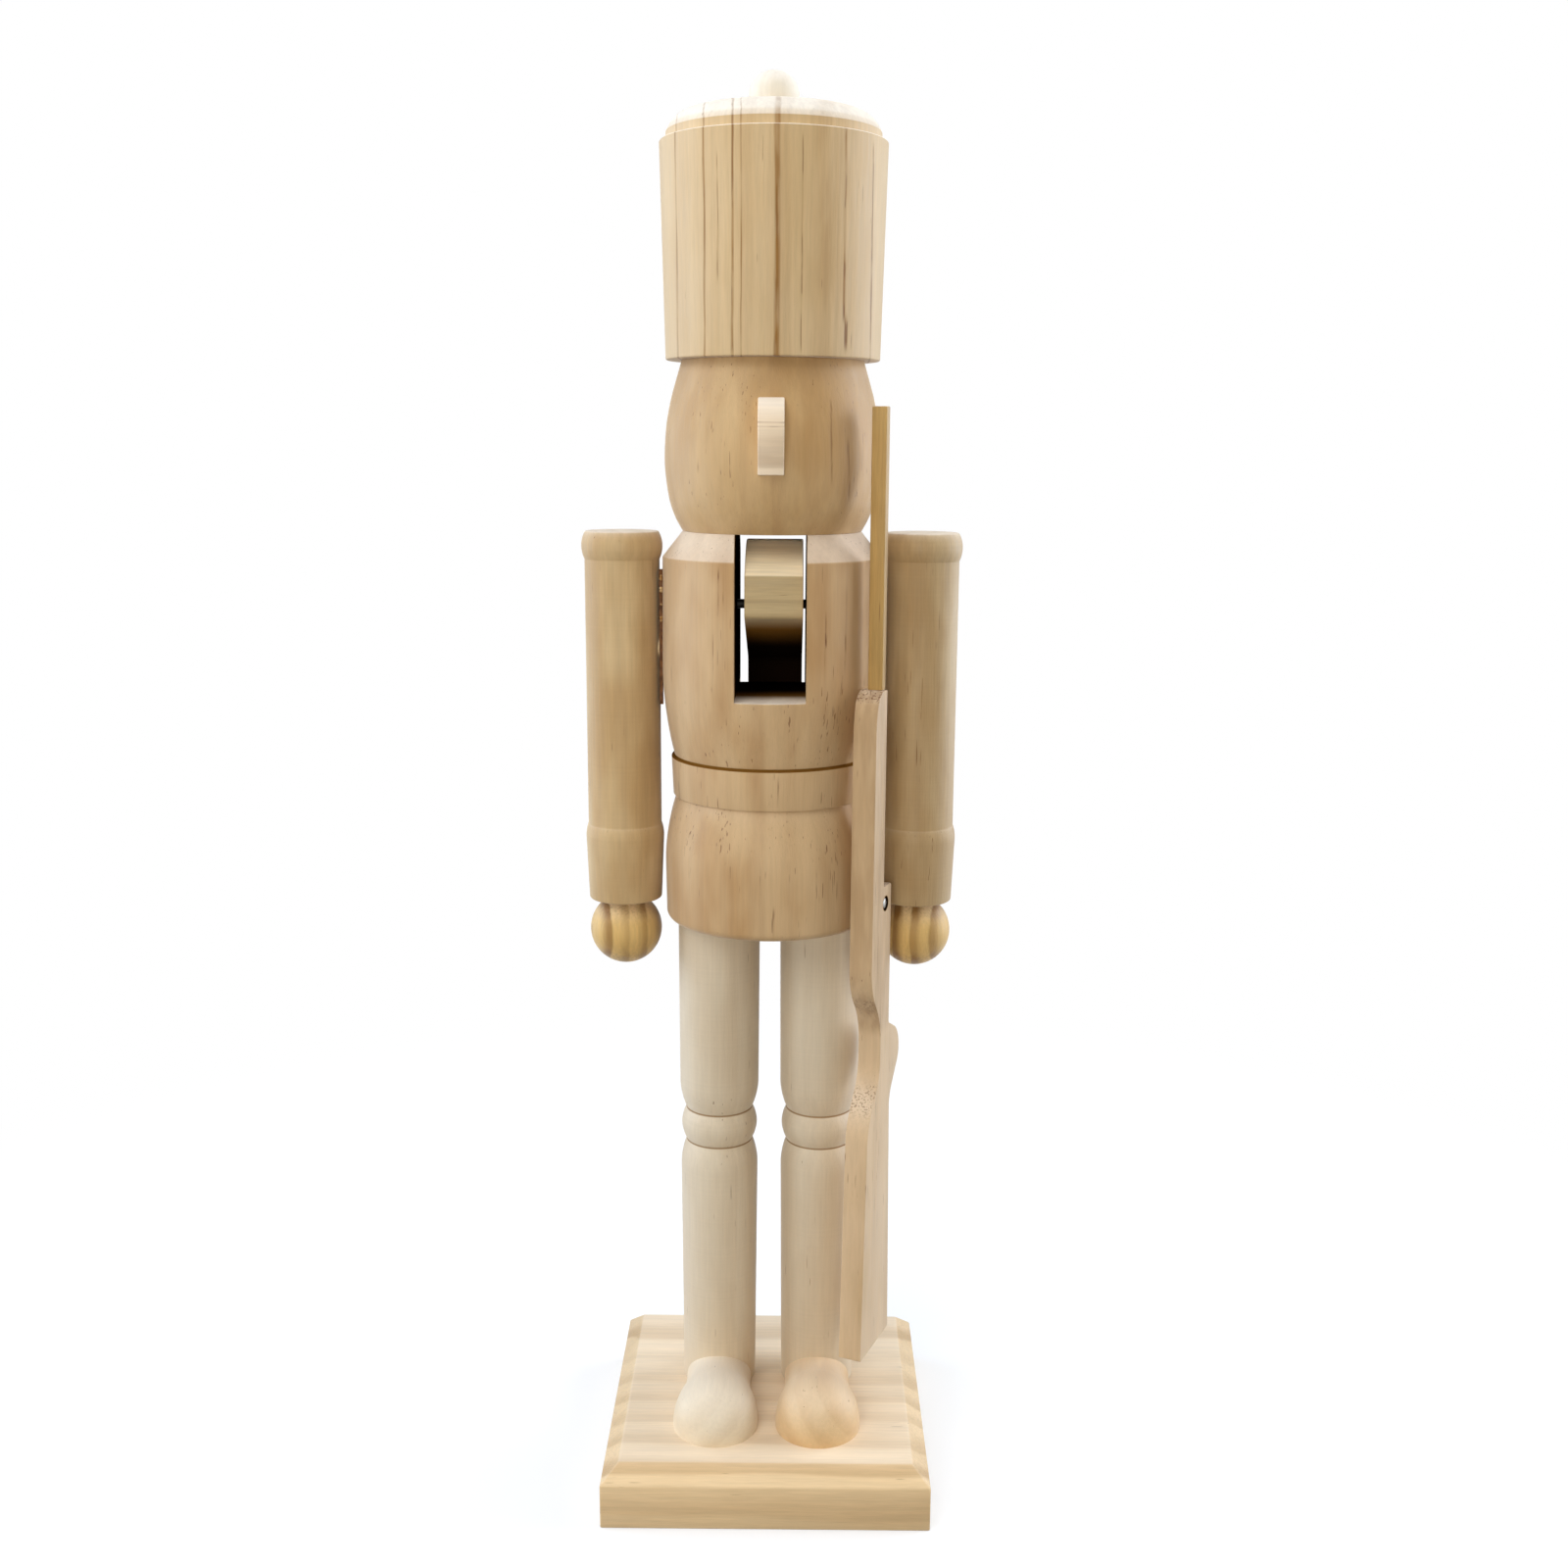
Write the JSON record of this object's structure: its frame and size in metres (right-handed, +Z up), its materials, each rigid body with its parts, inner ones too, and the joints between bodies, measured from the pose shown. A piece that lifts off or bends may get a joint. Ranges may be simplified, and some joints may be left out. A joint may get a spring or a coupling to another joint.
{
  "type": "nutcracker figure",
  "caption": "Unpainted wooden toy-soldier nutcracker of turned pieces on a bevelled square base, with a lever-worked jaw and a rifle held against its side.",
  "frame": {"origin": "middle of the underside of the base board", "axes": "+Z up; the figure faces -Y; +X is the figure's own left, the side with the rifle"},
  "size_m": [0.1028, 0.089, 0.3809],
  "materials": {
    "base_pine": "bare planed pine board with wavy grain",
    "leg_pine": "bare turned pine, pale",
    "shoe_tan": "bare turned wood, warm tan",
    "shoe_cream": "bare turned wood, pale cream",
    "body_pine": "bare turned pine with resin dashes",
    "dark_steel": "dark plain wire",
    "lever_wood": "bare sawn and sanded wood",
    "head_pine": "bare turned pine",
    "nose_wood": "bare sanded wood, cream",
    "hat_pine": "bare turned pine with brown growth rings",
    "knob_wood": "bare turned ball",
    "arm_pine": "bare turned pine, slightly yellow",
    "hand_wood": "bare turned ball, golden and striped",
    "stock_pine": "bare sawn board with rough end grain",
    "barrel_wood": "bare square-cut stick, golden",
    "dowel_birch": "plain dowel rod",
    "zinc_steel": "zinc-coated steel"
  },
  "bodies": {
    "figure": {"base_plate": "base_pine", "base_screws": "zinc_steel", "leg_left": "leg_pine", "leg_right": "leg_pine", "leg_dowels": "dowel_birch", "shoe_left": "shoe_tan", "shoe_right": "shoe_cream", "torso": "body_pine", "pivot_pin": "dark_steel", "head": "head_pine", "head_dowels": "dowel_birch", "nose": "nose_wood", "hat": "hat_pine", "hat_dowel": "dowel_birch", "hat_knob": "knob_wood", "arm_left": "arm_pine", "arm_right": "arm_pine", "arm_dowels": "dowel_birch", "hand_left": "hand_wood", "hand_right": "hand_wood", "hand_dowels": "dowel_birch", "rifle_stock": "stock_pine", "rifle_barrel": "barrel_wood", "rifle_nail": "zinc_steel"},
    "lever": {"jaw_lever": "lever_wood"}
  },
  "joints": [
    {"name": "jaw", "type": "hinge", "parent": "figure", "child": "lever", "pos_m": [0, 0.007, 0.2446], "axis": [1, 0, 0], "range_deg": [0, 52]}
  ]
}
